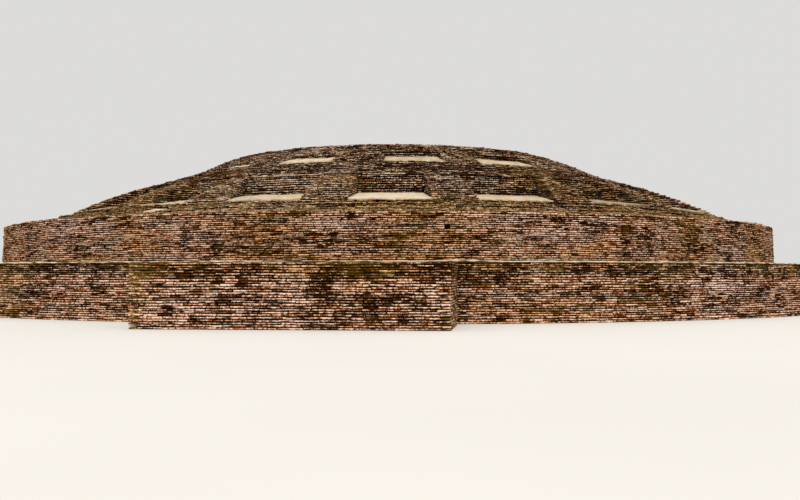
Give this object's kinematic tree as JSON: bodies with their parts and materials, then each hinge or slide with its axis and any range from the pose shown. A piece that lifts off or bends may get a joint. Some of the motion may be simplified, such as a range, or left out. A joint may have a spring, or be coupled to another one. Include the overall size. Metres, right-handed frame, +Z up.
{
  "type": "scale model of a ruined brick stupa",
  "caption": "Low round mound of weathered brick on a drum and a wider terrace, with platforms on the axes and rings of pale plaster beds. Half size.",
  "frame": {"origin": "on the stupa's axis at ground level", "axes": "+Z up; -Y looks out over the front platform, +X over the right platform"},
  "size_m": [26.6, 26.6, 4.15],
  "materials": {
    "drum_brick": "weathered brick with dark moss stains",
    "dome_brick": "broken brick, blackened by moss",
    "lime_plaster": "pale lime plaster, worn"
  },
  "bodies": {
    "root": {"lower_terrace": "drum_brick", "ledge_cap": "lime_plaster", "front_platform": "drum_brick", "right_platform": "drum_brick", "rear_platform": "drum_brick", "left_platform": "drum_brick", "drum": "drum_brick", "shoulder": "dome_brick", "lower_bed_ring": "dome_brick", "middle_stage": "dome_brick", "upper_bed_ring": "dome_brick", "crown": "dome_brick", "lower_bed_01": "lime_plaster", "lower_bed_02": "lime_plaster", "lower_bed_03": "lime_plaster", "lower_bed_04": "lime_plaster", "lower_bed_05": "lime_plaster", "lower_bed_06": "lime_plaster", "lower_bed_07": "lime_plaster", "lower_bed_08": "lime_plaster", "lower_bed_09": "lime_plaster", "lower_bed_10": "lime_plaster", "lower_bed_11": "lime_plaster", "lower_bed_12": "lime_plaster", "lower_bed_13": "lime_plaster", "lower_bed_14": "lime_plaster", "lower_bed_15": "lime_plaster", "lower_bed_16": "lime_plaster", "lower_bed_17": "lime_plaster", "lower_bed_18": "lime_plaster", "lower_bed_19": "lime_plaster", "lower_bed_20": "lime_plaster", "lower_bed_21": "lime_plaster", "small_bed": "lime_plaster", "upper_bed_01": "lime_plaster", "upper_bed_02": "lime_plaster", "upper_bed_04": "lime_plaster", "upper_bed_05": "lime_plaster", "upper_bed_06": "lime_plaster", "upper_bed_07": "lime_plaster", "upper_bed_08": "lime_plaster", "upper_bed_09": "lime_plaster", "upper_bed_10": "lime_plaster", "upper_bed_11": "lime_plaster", "upper_bed_12": "lime_plaster", "upper_bed_13": "lime_plaster", "upper_bed_14": "lime_plaster", "upper_bed_15": "lime_plaster"}
  },
  "joints": []
}
